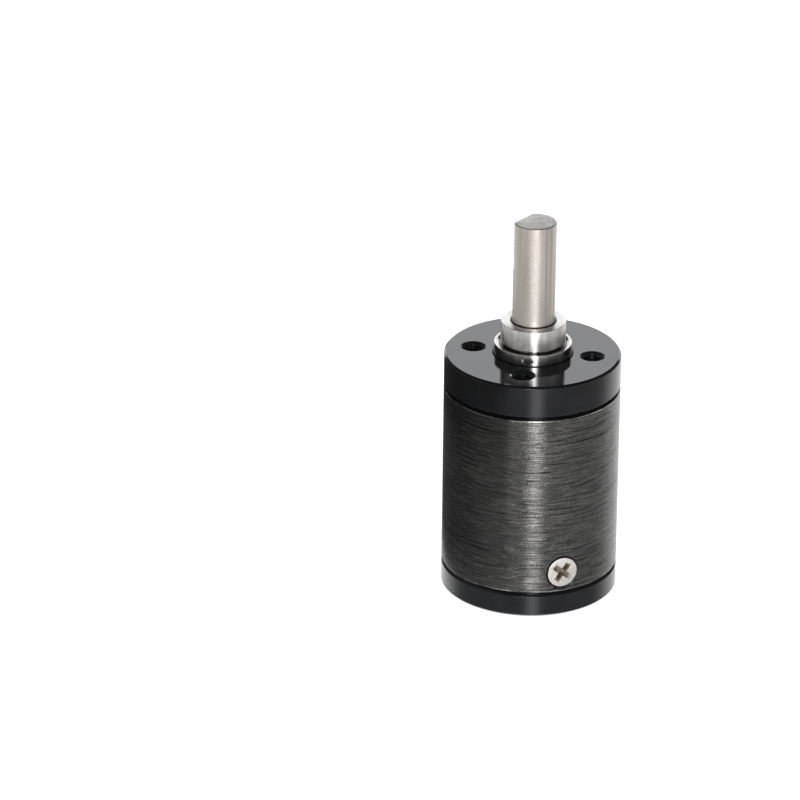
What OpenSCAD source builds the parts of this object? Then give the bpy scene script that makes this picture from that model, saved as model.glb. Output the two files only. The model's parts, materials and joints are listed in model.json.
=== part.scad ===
// Two-stage planetary gearbox with a D-shaft output, 16:1.
// Millimetres. +Z runs along the output shaft and z = 0 is the motor face of the base flange.

/* [Housing] */
// Outside diameter of the ring gear and of both flanges
body_d = 25; // [24.6:0.2:28]
// Height of the base flange's visible rim
base_rim_h = 3.5; // [3:0.1:4]
// Height of the front flange's visible rim
front_rim_h = 4.9; // [4.6:0.1:6]
// Chamfer on the flanges' outer edges
flange_chamfer = 0.3; // [0.1:0.05:0.4]
// Chamfer on the ring gear's outer edges
ring_chamfer = 0.3; // [0.1:0.05:0.35]

/* [Output shaft] */
// Diameter of the output shaft outside the housing
shaft_d = 6; // [5.6:0.1:6]
// Length of shaft that stands out of the front face
shaft_out = 19.8; // [16:0.2:25]
// Length of the D flat, from the shaft's end
flat_len = 7.5; // [5:0.5:11]
// Size across the D, from the flat to the round side
flat_across = 5; // [4.5:0.1:5.2]
// Direction that the D flat faces, in degrees from +X
flat_clock = 152; // [0:1:359]

/* [Front mounting] */
// Circle that the tapped holes of the front face lie on
front_pcd = 17; // [16:0.1:17.4]
// Number of tapped holes in the front face
front_holes = 4; // [3:1:6]
// Tap drill diameter of those holes (M3)
front_tap_d = 2.5; // [2:0.1:2.7]

/* [Motor mounting] */
// Distance between the two motor screws
motor_pitch = 16; // [15:0.5:16]
// Diameter of the recess for the motor's front boss
motor_boss_d = 10; // [9:0.5:10]
// Diameter of the motor shaft that the input sun gear is pressed on
motor_shaft_d = 2.3; // [2:0.1:2.6]

/* [Base screws] */
// Number of countersunk screws that hold the base flange
base_screw_count = 3; // [2:1:3]
// Direction of the first of them, in degrees from +X
base_screw_clock = 62; // [54:1:67]
// Head diameter of a base screw (M2.5)
screw_head_d = 4.6; // [4.4:0.1:4.7]

/* [Gears] */
// Gear module of both stages
gear_module = 0.5; // [0.49:0.01:0.5]
// Face width of the input stage's planet gears
input_face = 5; // [4:0.5:7]
// Face width of the output stage's planet gears
output_face = 5.6; // [5:0.1:8]

/* [Hidden] */
planet_count = 3;
sun_teeth = 12;
planet_teeth = 12;
ring_teeth = sun_teeth + 2 * planet_teeth;
pressure_angle = 25;
backlash = 0.08; // gap between the teeth of a mesh, along the pitch circle
ring_addendum = 0.85; // in modules; short, so that it clears the planets' roots
planet_orbit_r = gear_module * (sun_teeth + planet_teeth) / 2;

fine = 96;
joint_gap = 0.02; // between a spigot and its bore
run_gap = 0.03; // radial, between a planet gear and its pin
end_gap = 0.2; // axial, between parts that turn past each other

// Tooth proportions that the carriers and washers have to clear
ring_tip_r = gear_module * (ring_teeth / 2 - ring_addendum);
ring_root_r = gear_module * (ring_teeth / 2 + 1.25);
pinion_tip_r = gear_module * (sun_teeth / 2 + 1);
pinion_root_r = gear_module * (sun_teeth / 2 - 1.25);

// Bearings, 7 x 11 x 3 mm
bearing_bore_r = 3.5;
bearing_r = 5.5;
bearing_w = 3;
bearing_proud = 1.6; // how far the front bearing stands out of the front face
front_seat_r = 5.3; // the front outer race is stepped: smaller in its pocket than above it
pilot_sink = 0.1; // how far the full diameter of that race starts below the front face
race_inner_r = 4.1; // outside of the inner race's shoulders
race_outer_r = 4.85; // inside of the outer race's shoulders
race_chamfer = 0.15;
ball_r = 0.6;
ball_gap = 0.04;
ball_orbit_r = 4.5;
ball_count = 9;
cage_w = 1.7;
shield_t = 0.15;
shield_recess = 0.12;

// Levels along the axis, from the motor face upward
base_spigot_h = 6.2;
spigot_r = 10.2;
washer_t = 0.3;
input_carrier_t = 1.8;
output_carrier_t = 3;
carrier_r = ring_tip_r - end_gap;
pin_r = 1;
shoulder_r = 4;
shoulder_t = 0.9;
rim_z = base_rim_h;
base_top_z = rim_z + base_spigot_h;
input_planet_z = base_top_z + washer_t + end_gap;
input_carrier_z = input_planet_z + input_face + end_gap;
mid_washer_z = input_carrier_z + input_carrier_t;
output_planet_z = mid_washer_z + washer_t + end_gap;
output_carrier_z = output_planet_z + output_face + end_gap;
shoulder_z = output_carrier_z + output_carrier_t;
rear_bearing_z = shoulder_z + shoulder_t;
front_spigot_z = rear_bearing_z - end_gap;
seam_z = rear_bearing_z + bearing_w + 0.3;
front_z = seam_z + front_rim_h;
front_bearing_z = front_z + bearing_proud - bearing_w;
front_seat_h = bearing_w - bearing_proud - pilot_sink;
collar_z = front_bearing_z + bearing_w;
shaft_end_z = front_z + shaft_out;

// Collar on the shaft
collar_r = 4.6;
collar_h = 3.25;
collar_chamfer = 0.15;
collar_bore_chamfer = 0.15;
collar_seat_r = shaft_d / 2 + 0.2; // the shaft is a little larger where the collar is pressed on
collar_foot_r = 4;
collar_foot_h = 0.15;

// Front flange pockets and tapped holes
pocket_land_r = 4.7; // bore between the two bearing pockets
pocket_chamfer = 0.5;
front_hole_depth = 6;
front_hole_mouth_r = 1.8;

// Base flange
motor_boss_depth = 2.5;
base_bore_r = 4;
motor_hole_r = 1.45;
motor_slot_w = 5;

// Base screws, M2.5 countersunk with a cross recess
screw_z = 6.6;
screw_r = 1.2;
screw_tap_r = 1.25;
screw_clear_r = 1.35;
screw_head_x = body_d / 2 - 0.15;
screw_head_rim = 0.12;
screw_length = 4.6;
countersink_gap = 0.05;
cross_span = 3;
cross_w = 0.68;
cross_depth = 1.1;
cross_foot = 1.2;
cross_turns = [30, 8, 52]; // how each screw's cross recess happens to stand

// ---- Shared shapes ----

// Involute function, in degrees.
function involute(a) = tan(a) * 180 / PI - a;

// Half of a tooth's angle at radius r, for a tooth of the given half angle at its pitch circle.
function half_tooth(r, base_r, pitch_half) =
    pitch_half + involute(pressure_angle) - involute(acos(min(1, base_r / r)));

// Outline of a spur gear: teeth with involute flanks between root_r and tip_r.
function gear_outline(teeth, root_r, tip_r, thickness, steps = 5) =
    let (
        pitch_r = gear_module * teeth / 2,
        base_r = pitch_r * cos(pressure_angle),
        flank_r = max(root_r, base_r),
        pitch_half = thickness / 2 / pitch_r * 180 / PI,
        radii = concat(
            root_r < base_r ? [root_r] : [],
            [for (i = [0 : steps]) flank_r + (tip_r - flank_r) * i / steps]
        ),
        last = len(radii) - 1
    )
    [for (tooth = [0 : teeth - 1], side = [-1, 1], i = [0 : last])
        let (
            r = radii[side < 0 ? i : last - i],
            a = 360 / teeth * tooth + side * half_tooth(max(r, base_r), base_r, pitch_half)
        )
        [r * cos(a), r * sin(a)]
    ];

// A 12-tooth gear with a tooth centred on +X.
module pinion(height, bore_r) {
    thickness = PI * gear_module / 2 - backlash / 2;
    difference() {
        linear_extrude(height)
            polygon(gear_outline(planet_teeth, pinion_root_r, pinion_tip_r, thickness));
        translate([0, 0, -1])
            cylinder(h = height + 2, r = bore_r, $fn = fine);
    }
}

// Ring between two radii, with one chamfer size on its outer edges and one on its inner edges.
module ring(inner_r, outer_r, height, outer_chamfer = 0, inner_chamfer = 0) {
    oc = outer_chamfer;
    ic = inner_chamfer;
    rotate_extrude($fn = fine)
        polygon(concat(
            ic > 0 ? [[inner_r, ic], [inner_r + ic, 0]] : [[inner_r, 0]],
            oc > 0 ? [[outer_r - oc, 0], [outer_r, oc]] : [[outer_r, 0]],
            oc > 0 ? [[outer_r, height - oc], [outer_r - oc, height]] : [[outer_r, height]],
            ic > 0 ? [[inner_r + ic, height], [inner_r, height - ic]] : [[inner_r, height]]
        ));
}

// Children turned to each of the planets' places around the axis.
module at_planet(i) {
    rotate(360 / planet_count * (i - 1))
        translate([planet_orbit_r, 0, 0])
            children();
}

// Children at each base screw's place, where +X runs outward along the screw's axis.
module at_base_screws() {
    for (i = [0 : base_screw_count - 1])
        rotate(base_screw_clock + 360 / base_screw_count * i)
            translate([0, 0, screw_z])
                children();
}

// ---- Housing ----

module ring_gear() {
    length = seam_z - rim_z;
    space = PI * gear_module / 2 + backlash / 2;
    color([0.17, 0.17, 0.17])
    difference() {
        translate([0, 0, rim_z])
            ring(spigot_r, body_d / 2, length, ring_chamfer, ring_chamfer);
        at_base_screws() screw_clearance();
    }
    color([0.17, 0.17, 0.17])
    translate([0, 0, base_top_z + joint_gap])
        linear_extrude(front_spigot_z - base_top_z - 2 * joint_gap)
            difference() {
                circle(r = spigot_r, $fn = fine);
                polygon(gear_outline(ring_teeth, ring_tip_r, ring_root_r, space));
            }
}

module front_flange() {
    color([0.07, 0.07, 0.08])
    difference() {
        union() {
            translate([0, 0, seam_z])
                ring(pocket_land_r, body_d / 2, front_rim_h, flange_chamfer, 0);
            translate([0, 0, front_spigot_z])
                ring(pocket_land_r, spigot_r - joint_gap, seam_z - front_spigot_z + 1, 0, 0);
        }
        // Pocket of the front bearing, with a chamfered mouth
        translate([0, 0, front_bearing_z])
            cylinder(h = bearing_w, r = front_seat_r, $fn = fine);
        translate([0, 0, front_z - pocket_chamfer])
            cylinder(h = pocket_chamfer, r1 = front_seat_r, r2 = front_seat_r + pocket_chamfer, $fn = fine);
        // Pocket of the rear bearing
        translate([0, 0, front_spigot_z - 1])
            cylinder(h = rear_bearing_z + bearing_w - front_spigot_z + 1, r = bearing_r, $fn = fine);
        for (i = [0 : front_holes - 1])
            rotate(360 / front_holes * i)
                translate([front_pcd / 2, 0, front_z])
                    tapped_hole();
    }
}

// Blind hole at the tap drill's size, with a drill point and a chamfered mouth. Its mouth is at z = 0.
module tapped_hole() {
    r = front_tap_d / 2;
    mouth = front_hole_mouth_r - r;
    translate([0, 0, -front_hole_depth])
        cylinder(h = front_hole_depth + 1, r = r, $fn = fine);
    translate([0, 0, -front_hole_depth - r / 2])
        cylinder(h = r / 2, r1 = 0, r2 = r, $fn = fine);
    translate([0, 0, -mouth])
        cylinder(h = mouth, r1 = r, r2 = front_hole_mouth_r, $fn = fine);
}

module base_flange() {
    color([0.07, 0.07, 0.08])
    difference() {
        union() {
            ring(base_bore_r, body_d / 2, base_rim_h, flange_chamfer, 0);
            translate([0, 0, rim_z - 1])
                ring(base_bore_r, spigot_r - joint_gap, base_spigot_h + 1, 0, 0);
        }
        translate([0, 0, -1])
            cylinder(h = motor_boss_depth + 1, r = motor_boss_d / 2, $fn = fine);
        for (side = [-1, 1])
            translate([0, side * motor_pitch / 2, 0])
                motor_screw_hole(side);
        at_base_screws()
            rotate([0, 90, 0])
                cylinder(h = body_d, r = screw_tap_r, $fn = fine);
    }
}

// Clearance hole for a motor screw, with a milled slot above it that runs out through the spigot.
module motor_screw_hole(side) {
    translate([0, 0, -1])
        cylinder(h = rim_z + 2, r = motor_hole_r, $fn = fine);
    translate([0, 0, rim_z]) {
        cylinder(h = base_top_z, r = motor_slot_w / 2, $fn = fine);
        translate([-motor_slot_w / 2, side > 0 ? 0 : -body_d, 0])
            cube([motor_slot_w, body_d, base_top_z]);
    }
}

module base_thrust_washer() {
    color([0.72, 0.55, 0.28])
    translate([0, 0, base_top_z])
        ring(base_bore_r + 0.3, carrier_r, washer_t);
}

// ---- Base screws ----

// Room for a base screw in the ring gear's wall.
module screw_clearance() {
    head_r = screw_head_d / 2 + countersink_gap;
    seat = head_r - screw_clear_r;
    rotate([0, 90, 0]) {
        cylinder(h = body_d, r = screw_clear_r, $fn = fine);
        translate([0, 0, screw_head_x - screw_head_rim - seat])
            cylinder(h = seat, r1 = screw_clear_r, r2 = head_r, $fn = fine);
        translate([0, 0, screw_head_x - screw_head_rim])
            cylinder(h = 2, r1 = head_r, r2 = head_r + 2, $fn = fine);
    }
}

module base_screw(turn) {
    head_r = screw_head_d / 2;
    seat = head_r - screw_r;
    rotate([0, 90, 0])
    difference() {
        rotate_extrude($fn = fine)
            polygon([
                [0, screw_head_x - screw_length],
                [screw_r - 0.3, screw_head_x - screw_length],
                [screw_r, screw_head_x - screw_length + 0.3],
                [screw_r, screw_head_x - screw_head_rim - seat],
                [head_r, screw_head_x - screw_head_rim],
                [head_r, screw_head_x],
                [0, screw_head_x]
            ]);
        for (arm = [0, 90])
            rotate(turn + arm)
                translate([0, cross_w / 2, screw_head_x])
                    rotate([90, 0, 0])
                        linear_extrude(cross_w)
                            polygon([
                                [-cross_span / 2 - 0.1, 0.1],
                                [cross_span / 2 + 0.1, 0.1],
                                [cross_foot / 2, -cross_depth],
                                [-cross_foot / 2, -cross_depth]
                            ]);
    }
}

module base_screws() {
    color([0.8, 0.78, 0.75])
    for (i = [0 : base_screw_count - 1])
        rotate(base_screw_clock + 360 / base_screw_count * i)
            translate([0, 0, screw_z])
                base_screw(cross_turns[i]);
}

// ---- Bearings, each piece with the bearing's lower face at z = 0 ----

module bearing_groove() {
    translate([ball_orbit_r, bearing_w / 2])
        circle(r = ball_r + ball_gap, $fn = fine);
}

// Its seat is cut back to front_seat_r up to seat_h.
module bearing_outer_race(seat_h) {
    c = race_chamfer;
    color([0.62, 0.61, 0.59])
    rotate_extrude($fn = fine)
        difference() {
            polygon([
                [race_outer_r, 0], [bearing_r - c, 0], [bearing_r, c],
                [bearing_r, bearing_w - c], [bearing_r - c, bearing_w], [race_outer_r, bearing_w]
            ]);
            bearing_groove();
            if (seat_h > 0)
                translate([front_seat_r, -1])
                    square([bearing_r, seat_h + 1]);
        }
}

module bearing_inner_race() {
    c = race_chamfer;
    color([0.62, 0.61, 0.59])
    rotate_extrude($fn = fine)
        difference() {
            polygon([
                [bearing_bore_r + c, 0], [race_inner_r, 0], [race_inner_r, bearing_w],
                [bearing_bore_r + c, bearing_w], [bearing_bore_r, bearing_w - c], [bearing_bore_r, c]
            ]);
            bearing_groove();
        }
}

module bearing_shields() {
    color([0.5, 0.5, 0.5])
    for (z = [shield_recess, bearing_w - shield_recess - shield_t])
        translate([0, 0, z])
            ring(race_inner_r + 0.1, race_outer_r, shield_t);
}

module bearing_cage() {
    color([0.72, 0.55, 0.28])
    difference() {
        translate([0, 0, (bearing_w - cage_w) / 2])
            ring(race_inner_r + 0.1, race_outer_r - 0.1, cage_w);
        for (i = [0 : ball_count - 1])
            rotate(360 / ball_count * i)
                translate([0, 0, bearing_w / 2])
                    rotate([0, 90, 0])
                        cylinder(h = bearing_r, r = ball_r + ball_gap, $fn = fine);
    }
}

module bearing_balls() {
    color([0.85, 0.85, 0.87])
    for (i = [0 : ball_count - 1])
        rotate(360 / ball_count * i)
            translate([ball_orbit_r, 0, bearing_w / 2])
                sphere(r = ball_r, $fn = fine / 2);
}

module bearing_piece(piece, seat_h) {
    if (piece == "outer_race") bearing_outer_race(seat_h);
    if (piece == "shields") bearing_shields();
    if (piece == "inner_race") bearing_inner_race();
    if (piece == "cage") bearing_cage();
    if (piece == "balls") bearing_balls();
}

// ---- Output stage ----

module output_shaft() {
    r = shaft_d / 2;
    journal_r = bearing_bore_r;
    journal_top_z = collar_z - 0.05;
    seat_top_z = collar_z + collar_h - collar_bore_chamfer;
    tip = 0.3;
    color([0.7, 0.67, 0.64])
    difference() {
        rotate_extrude($fn = fine)
            polygon([
                [0, output_carrier_z], [journal_r - tip, output_carrier_z], [journal_r, output_carrier_z + tip],
                [journal_r, shoulder_z], [shoulder_r, shoulder_z], [shoulder_r, rear_bearing_z],
                [journal_r, rear_bearing_z], [journal_r, journal_top_z],
                [collar_seat_r, journal_top_z], [collar_seat_r, seat_top_z], [r, seat_top_z],
                [r, shaft_end_z - tip], [r - tip, shaft_end_z], [0, shaft_end_z]
            ]);
        rotate(flat_clock)
            translate([flat_across - r, -shaft_d, shaft_end_z - flat_len])
                cube([shaft_d, 2 * shaft_d, flat_len + 1]);
    }
}

module shaft_collar() {
    c = collar_chamfer;
    b = collar_bore_chamfer;
    r = collar_seat_r;
    color([0.72, 0.72, 0.7])
    translate([0, 0, collar_z])
        rotate_extrude($fn = fine)
            polygon([
                [r, 0], [collar_foot_r, 0], [collar_foot_r, collar_foot_h], [collar_r - c, collar_foot_h],
                [collar_r, collar_foot_h + c], [collar_r, collar_h - c], [collar_r - c, collar_h],
                [r + b, collar_h], [r, collar_h - b]
            ]);
}

module bearing_spacer() {
    bottom = rear_bearing_z + bearing_w;
    color([0.6, 0.6, 0.6])
    translate([0, 0, bottom])
        ring(bearing_bore_r, race_inner_r, front_bearing_z - bottom, 0.1, 0);
}

module output_carrier() {
    color([0.45, 0.45, 0.46])
    translate([0, 0, output_carrier_z])
        difference() {
            ring(bearing_bore_r, carrier_r, output_carrier_t, 0.3, 0);
            for (i = [1 : planet_count])
                at_planet(i)
                    translate([0, 0, -1])
                        cylinder(h = output_carrier_t + 2, r = pin_r, $fn = fine);
        }
}

// A planet pin from z = 0 to the given height, with a small chamfer at each end.
module pin(height) {
    c = 0.15;
    color([0.75, 0.75, 0.76])
    rotate_extrude($fn = fine)
        polygon([[0, 0], [pin_r - c, 0], [pin_r, c], [pin_r, height - c], [pin_r - c, height], [0, height]]);
}

module output_pin(i) {
    bottom = output_planet_z + 0.05;
    at_planet(i) translate([0, 0, bottom]) pin(shoulder_z - bottom);
}

module planet_gear(i, bottom, face) {
    color([0.5, 0.49, 0.48])
    at_planet(i) translate([0, 0, bottom]) pinion(face, pin_r + run_gap);
}

// ---- Input stage ----

module mid_carrier() {
    color([0.45, 0.45, 0.46])
    translate([0, 0, input_carrier_z])
        difference() {
            ring(pinion_root_r, carrier_r, input_carrier_t, 0.3, 0);
            for (i = [1 : planet_count])
                at_planet(i)
                    translate([0, 0, -1])
                        cylinder(h = input_carrier_t + 2, r = pin_r, $fn = fine);
        }
}

// Sun gear of the output stage, on a plain shank that is pressed into the middle carrier.
module output_sun_gear() {
    tooth_half = 180 / sun_teeth;
    color([0.55, 0.54, 0.52]) {
        translate([0, 0, input_carrier_z])
            cylinder(h = input_carrier_t, r = pinion_root_r, $fn = fine);
        translate([0, 0, mid_washer_z])
            rotate(tooth_half)
                linear_extrude(output_carrier_z - end_gap - mid_washer_z)
                    polygon(gear_outline(sun_teeth, pinion_root_r, pinion_tip_r,
                                         PI * gear_module / 2 - backlash / 2));
    }
}

module mid_thrust_washer() {
    color([0.72, 0.55, 0.28])
    translate([0, 0, mid_washer_z])
        ring(pinion_tip_r + 0.2, carrier_r, washer_t);
}

module input_pin(i) {
    bottom = input_planet_z + 0.05;
    at_planet(i) translate([0, 0, bottom]) pin(mid_washer_z - bottom);
}

// Pinion that is pressed on the motor's shaft.
module input_sun_gear() {
    bottom = motor_boss_depth + 2.7;
    tooth_half = 180 / sun_teeth;
    color([0.72, 0.55, 0.28])
    translate([0, 0, bottom])
        rotate(tooth_half)
            pinion(input_carrier_z - end_gap - bottom, motor_shaft_d / 2);
}

// ---- Nodes ----

ring_gear();
front_flange();
base_flange();
base_screws();
base_thrust_washer();
for (piece = ["outer_race", "shields", "inner_race", "cage", "balls"]) {
    translate([0, 0, front_bearing_z]) bearing_piece(piece, front_seat_h);
    translate([0, 0, rear_bearing_z]) bearing_piece(piece, 0);
}
output_shaft();
output_carrier();
shaft_collar();
bearing_spacer();
mid_carrier();
output_sun_gear();
mid_thrust_washer();
input_sun_gear();
for (i = [1 : planet_count]) {
    output_pin(i);
    planet_gear(i, output_planet_z, output_face);
    input_pin(i);
    planet_gear(i, input_planet_z, input_face);
}
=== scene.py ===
import json
import math

import bmesh
import bpy
from mathutils import Matrix, Quaternion, Vector
from mathutils.geometry import tessellate_polygon


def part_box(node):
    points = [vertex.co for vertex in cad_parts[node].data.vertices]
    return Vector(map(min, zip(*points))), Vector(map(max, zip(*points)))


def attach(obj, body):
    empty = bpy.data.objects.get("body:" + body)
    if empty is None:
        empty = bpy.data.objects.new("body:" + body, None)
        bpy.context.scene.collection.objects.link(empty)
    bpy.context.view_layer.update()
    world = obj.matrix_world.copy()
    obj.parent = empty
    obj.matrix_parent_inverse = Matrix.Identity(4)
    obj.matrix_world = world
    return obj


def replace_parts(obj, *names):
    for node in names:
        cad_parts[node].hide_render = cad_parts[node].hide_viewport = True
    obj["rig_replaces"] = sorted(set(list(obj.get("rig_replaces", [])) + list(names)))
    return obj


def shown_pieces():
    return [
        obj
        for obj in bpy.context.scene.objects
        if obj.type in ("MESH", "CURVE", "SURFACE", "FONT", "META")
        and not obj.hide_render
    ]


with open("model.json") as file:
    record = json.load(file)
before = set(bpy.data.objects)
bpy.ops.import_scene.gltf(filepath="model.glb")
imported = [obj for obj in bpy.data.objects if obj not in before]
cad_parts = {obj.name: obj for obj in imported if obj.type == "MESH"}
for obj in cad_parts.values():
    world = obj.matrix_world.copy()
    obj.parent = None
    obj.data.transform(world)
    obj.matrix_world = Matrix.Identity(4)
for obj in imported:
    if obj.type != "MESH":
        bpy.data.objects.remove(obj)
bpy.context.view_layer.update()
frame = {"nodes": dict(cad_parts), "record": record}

MM = 0.001
TURN = 2 * math.pi
FINE = 360                 # steps round a turned piece
CREASE = math.radians(32)  # edges sharper than this stay sharp

mounts = {m["name"]: m for m in frame["record"]["mounts"]}


# ---- Sizes and levels, from the frame ----

def low(node):
    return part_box(node)[0]


def high(node):
    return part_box(node)[1]


def mount_size(name, size):
    return mounts[name]["dims"][size] * MM


body_r = high("ring_gear").x
rim_z = low("ring_gear").z
seam_z = high("ring_gear").z
base_top_z = high("base_flange").z
spigot_low_z = low("front_flange").z
front_z = high("front_flange").z
front_bearing_z = low("front_bearing_outer_race").z
rear_bearing_z = low("rear_bearing_outer_race").z
collar_low = low("shaft_collar")
collar_high = high("shaft_collar")
shaft_low_z = low("output_shaft").z
shaft_top_z = high("output_shaft").z
shaft_r = mount_size("output_shaft", "r_mm")
bearing_r = high("front_bearing_outer_race").x
bearing_w = high("rear_bearing_outer_race").z - rear_bearing_z

EDGE = 0.3 * MM           # chamfer on the body's outer edges
SEAM = 0.36 * MM          # chamfer on each side of the two seams
BREAK = 0.05 * MM         # rounding where two machined faces meet
SPIGOT_R = 10.18 * MM     # the flanges' spigots in the ring gear's bored ends
RING_BORE_R = 10.2 * MM
LAND_R = 4.7 * MM         # bore between the two bearing pockets
FRONT_SEAT_R = 5.3 * MM   # the front bearing's outer race where it sits in the flange
POCKET_CHAMFER = 0.5 * MM
RACE_INNER_R = 4.1 * MM   # the races' shoulders, and the path of the balls between them
RACE_OUTER_R = 4.85 * MM
BALL_ORBIT_R = 4.5 * MM
GROOVE_R = 0.64 * MM
BEARING_BORE_R = 3.5 * MM
SHOULDER_R = 4 * MM
COLLAR_SEAT_R = 3.2 * MM
RACE_CHAMFER = 0.15 * MM


# ---- Outlines ----

def fillet(before, corner, after, radius, steps):
    """Points of the arc that rounds a corner between two straight lines."""
    corner = Vector(corner)
    into = (Vector(before) - corner).normalized()
    out = (Vector(after) - corner).normalized()
    half = into.angle(out) / 2
    centre = corner + (into + out).normalized() * (radius / math.sin(half))
    start = corner + into * (radius / math.tan(half)) - centre
    end = corner + out * (radius / math.tan(half)) - centre
    sweep = start.angle_signed(end)
    return [
        tuple(centre + Matrix.Rotation(-sweep * i / steps, 2) @ start)
        for i in range(steps + 1)
    ]


def rounded(corners, steps=4):
    """An outline from corners (radius, height) or (radius, height, rounding)."""
    points = []
    for i, corner in enumerate(corners):
        if len(corner) == 2:
            points.append(tuple(corner))
            continue
        before, after = corners[i - 1], corners[(i + 1) % len(corners)]
        points += fillet(before[:2], corner[:2], after[:2], corner[2], steps)
    return points


def involute(angle):
    return math.tan(angle) - angle


GEAR_MODULE = 0.5 * MM
PRESSURE = math.radians(25)
BACKLASH = 0.08 * MM
RING_TEETH = 36
ROOT = 1.25               # dedendum in modules
RING_ADDENDUM = 0.85      # addendum of the ring gear in modules


def gear_outline(teeth, root_r, tip_r, thickness):
    """A gear's outline with involute flanks, as pairs of radius and angle.

    A tooth is centred on +X. A ring gear's outline has its spaces where a pinion's has teeth.
    """
    steps = 7
    pitch_r = GEAR_MODULE * teeth / 2
    base_r = pitch_r * math.cos(PRESSURE)
    flank_r = max(root_r, base_r)
    radii = [root_r] if root_r < base_r else []
    radii += [flank_r + (tip_r - flank_r) * i / steps for i in range(steps + 1)]
    half_pitch = thickness / 2 / pitch_r

    def half_tooth(r):
        return half_pitch + involute(PRESSURE) - involute(math.acos(min(1, base_r / max(r, base_r))))

    points = []
    for tooth in range(teeth):
        middle = TURN * tooth / teeth
        points += [(r, middle - half_tooth(r)) for r in radii]
        points += [(r, middle + half_tooth(r)) for r in reversed(radii)]
    return points


# ---- Mesh building ----

def circle(bm, radius, z, steps):
    """A ring of points, or the one point on the axis where the radius is nothing."""
    if radius < 1e-9:
        return [bm.verts.new((0, 0, z))]
    return [
        bm.verts.new((radius * math.cos(TURN * i / steps), radius * math.sin(TURN * i / steps), z))
        for i in range(steps)
    ]


def polar_ring(bm, points, z):
    return [bm.verts.new((r * math.cos(a), r * math.sin(a), z)) for r, a in points]


def skin(bm, one, other):
    """Faces between two rings of points. A ring of one point is a tip."""
    count = max(len(one), len(other))
    for i in range(count):
        j = (i + 1) % count
        corners = [
            one[i % len(one)], one[j % len(one)],
            other[j % len(other)], other[i % len(other)],
        ]
        corners = list(dict.fromkeys(corners))
        if len(corners) > 2:
            bm.faces.new(corners)


def fill(bm, *rings):
    """Flat faces inside the first ring and outside the others."""
    verts = [v for ring in rings for v in ring]
    for triangle in tessellate_polygon([[v.co for v in ring] for ring in rings]):
        bm.faces.new([verts[i] for i in triangle])


def revolve(bm, outline, steps=FINE, closed=True):
    rings = [circle(bm, r, z, steps) for r, z in outline]
    for i in range(len(rings) if closed else len(rings) - 1):
        skin(bm, rings[i], rings[(i + 1) % len(rings)])
    return rings


def make_object(bm, name):
    bmesh.ops.remove_doubles(bm, verts=bm.verts, dist=1e-8)
    bmesh.ops.recalc_face_normals(bm, faces=bm.faces)
    mesh = bpy.data.meshes.new(name)
    bm.to_mesh(mesh)
    bm.free()
    made = bpy.data.objects.new(name, mesh)
    bpy.context.scene.collection.objects.link(made)
    return made


def settle(piece):
    """Applies the piece's modifiers to its mesh."""
    graph = bpy.context.evaluated_depsgraph_get()
    mesh = bpy.data.meshes.new_from_object(piece.evaluated_get(graph))
    piece.modifiers.clear()
    piece.data = mesh


def carve(piece, cutters):
    """Cuts each cutter's shape out of the piece and throws the cutter away."""
    for cutter in cutters:
        cut = piece.modifiers.new("cut", "BOOLEAN")
        cut.solver = "EXACT"
        cut.object = cutter
        settle(piece)
        bpy.data.objects.remove(cutter)


def shade(piece):
    """Gives smooth faces sharp creases, and normals that keep wide faces flat."""
    bm = bmesh.new()
    bm.from_mesh(piece.data)
    for face in bm.faces:
        face.smooth = True
    for edge in bm.edges:
        edge.smooth = len(edge.link_faces) == 2 and edge.calc_face_angle() < CREASE
    bm.to_mesh(piece.data)
    bm.free()
    normals = piece.modifiers.new("normals", "WEIGHTED_NORMAL")
    normals.keep_sharp = True


def finish_piece(piece, body, slot, material, *nodes):
    """Shades the piece and tells the frame which body it rides and which nodes it stands for."""
    shade(piece)
    piece.data.materials.clear()
    piece.data.materials.append(material)
    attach(piece, body)
    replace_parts(piece, *nodes)
    return piece


# ---- Threads ----

THREAD_ROOT = 0.12        # shares of a pitch: the flat at the root, and the two flanks together
THREAD_FLANKS = 0.72


def thread_radius(turns, z, root_r, crest_r, pitch):
    """Radius of a thread with flats at root and crest, after so many turns and at height z."""
    tooth = abs(2 * ((z / pitch - turns) % 1.0) - 1)
    share = min(1, max(0, (tooth - THREAD_ROOT) / THREAD_FLANKS))
    return root_r + (crest_r - root_r) * share


def threaded_rings(bm, bottom, top, pitch, radius_at, steps):
    """Rings of a helical surface from bottom to top."""
    rows_per_pitch = 9
    rows = math.ceil((top - bottom) / pitch * rows_per_pitch)
    rings = []
    for row in range(rows + 1):
        z = bottom + (top - bottom) * row / rows
        points = [(radius_at(i / steps, z), TURN * i / steps) for i in range(steps)]
        rings.append(polar_ring(bm, points, z))
    return rings


def tapped_hole_cutter(name, core_r, crest_r, pitch, mouth_r, depth):
    """Shape of a tapped hole with a drill point and a chamfered mouth at z = 0."""
    over = 0.3 * MM
    plain = 0.2 * MM
    drill_r = core_r * 0.98
    steps = 48

    def radius_at(turns, z):
        cone = mouth_r + z
        return max(thread_radius(turns, z, core_r, crest_r, pitch), cone)

    bm = bmesh.new()
    rings = [circle(bm, 0, -depth - core_r / 2, steps), circle(bm, drill_r, -depth, steps)]
    rings += threaded_rings(bm, -depth + plain, over, pitch, radius_at, steps)
    for one, other in zip(rings, rings[1:]):
        skin(bm, one, other)
    bm.faces.new(rings[-1])
    return make_object(bm, name)


# ---- Materials ----

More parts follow.
